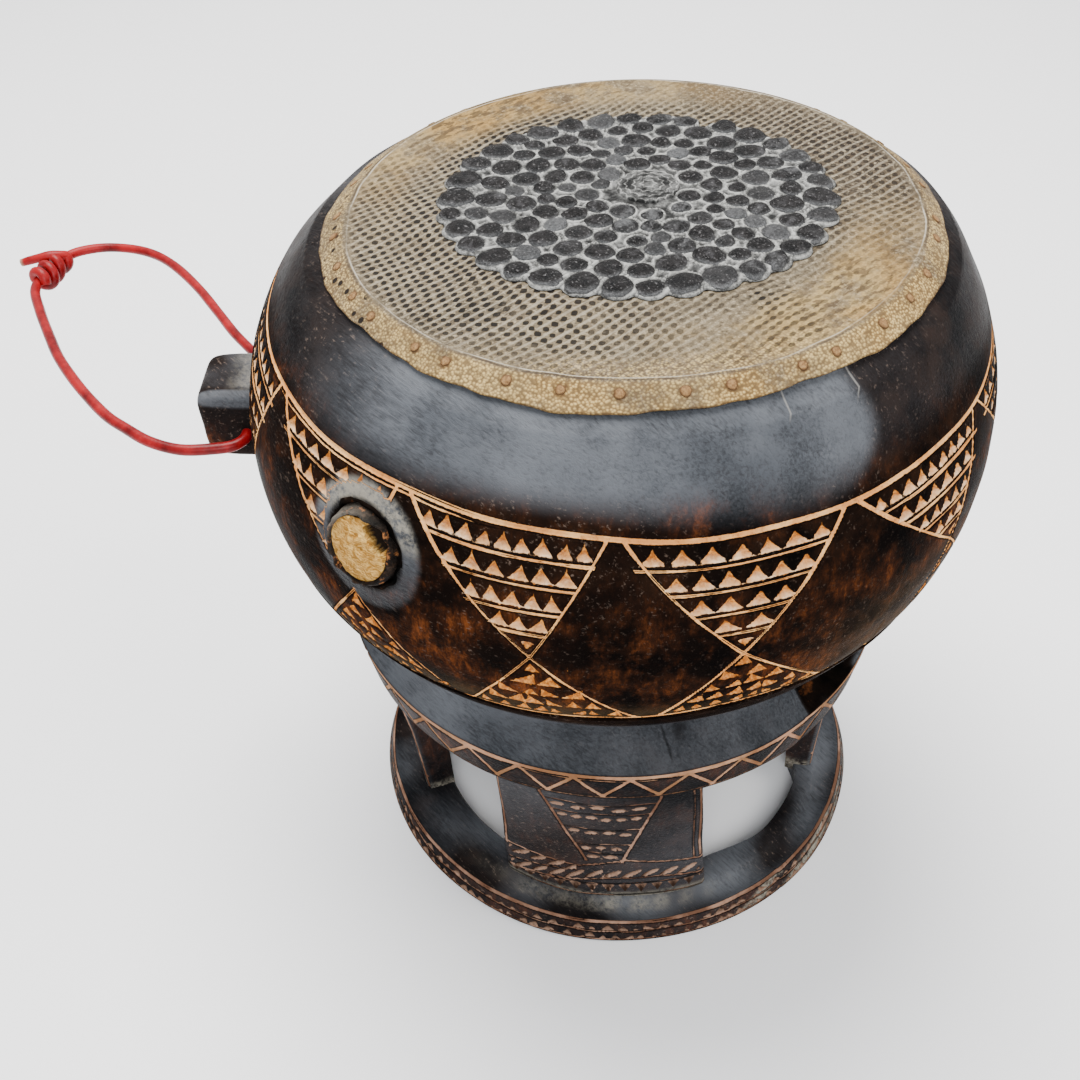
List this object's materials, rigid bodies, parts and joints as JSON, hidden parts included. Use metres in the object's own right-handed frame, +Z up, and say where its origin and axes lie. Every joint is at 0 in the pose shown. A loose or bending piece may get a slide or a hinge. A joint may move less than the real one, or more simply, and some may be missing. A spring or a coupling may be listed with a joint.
{
  "type": "ceremonial drum",
  "caption": "Carved wooden bowl drum on a pierced pedestal, with a pegged reptile-skin head, a wax tuning patch, a side resonator and a cord loop.",
  "frame": {"origin": "on the floor, at the middle of the drum's box measured without its cord", "axes": "+Z up through the bowl; the carved front leg looks between +X and -Y, the resonator close to -Y and the lug between -X and -Y"},
  "size_m": [0.4721, 0.3423, 0.3572],
  "materials": {
    "carved_wood": "dark, polished by use",
    "lizard_skin": "dry scales, dusty",
    "peg_wood": "matt",
    "black_wax": "waxy, dusty",
    "collar_wax": "rough, waxed",
    "silk_membrane": "fibrous",
    "red_cord": "glossy"
  },
  "bodies": {
    "root": {"drum_body": "carved_wood", "drum_skin": "lizard_skin", "skin_peg_01": "peg_wood", "skin_peg_02": "peg_wood", "skin_peg_03": "peg_wood", "skin_peg_04": "peg_wood", "skin_peg_05": "peg_wood", "skin_peg_06": "peg_wood", "skin_peg_07": "peg_wood", "skin_peg_08": "peg_wood", "skin_peg_09": "peg_wood", "skin_peg_10": "peg_wood", "skin_peg_11": "peg_wood", "skin_peg_12": "peg_wood", "skin_peg_13": "peg_wood", "skin_peg_14": "peg_wood", "skin_peg_15": "peg_wood", "skin_peg_16": "peg_wood", "skin_peg_17": "peg_wood", "skin_peg_18": "peg_wood", "skin_peg_19": "peg_wood", "skin_peg_20": "peg_wood", "skin_peg_21": "peg_wood", "skin_peg_22": "peg_wood", "skin_peg_23": "peg_wood", "skin_peg_24": "peg_wood", "skin_peg_25": "peg_wood", "skin_peg_26": "peg_wood", "skin_peg_27": "peg_wood", "skin_peg_28": "peg_wood", "skin_peg_29": "peg_wood", "skin_peg_30": "peg_wood", "skin_peg_31": "peg_wood", "skin_peg_32": "peg_wood", "skin_peg_33": "peg_wood", "skin_peg_34": "peg_wood", "skin_peg_35": "peg_wood", "skin_peg_36": "peg_wood", "tuning_patch": "black_wax", "resonator_collar": "collar_wax", "resonator_membrane": "silk_membrane", "cord_front": "red_cord", "cord_back": "red_cord", "cord_knot": "red_cord"}
  },
  "joints": []
}
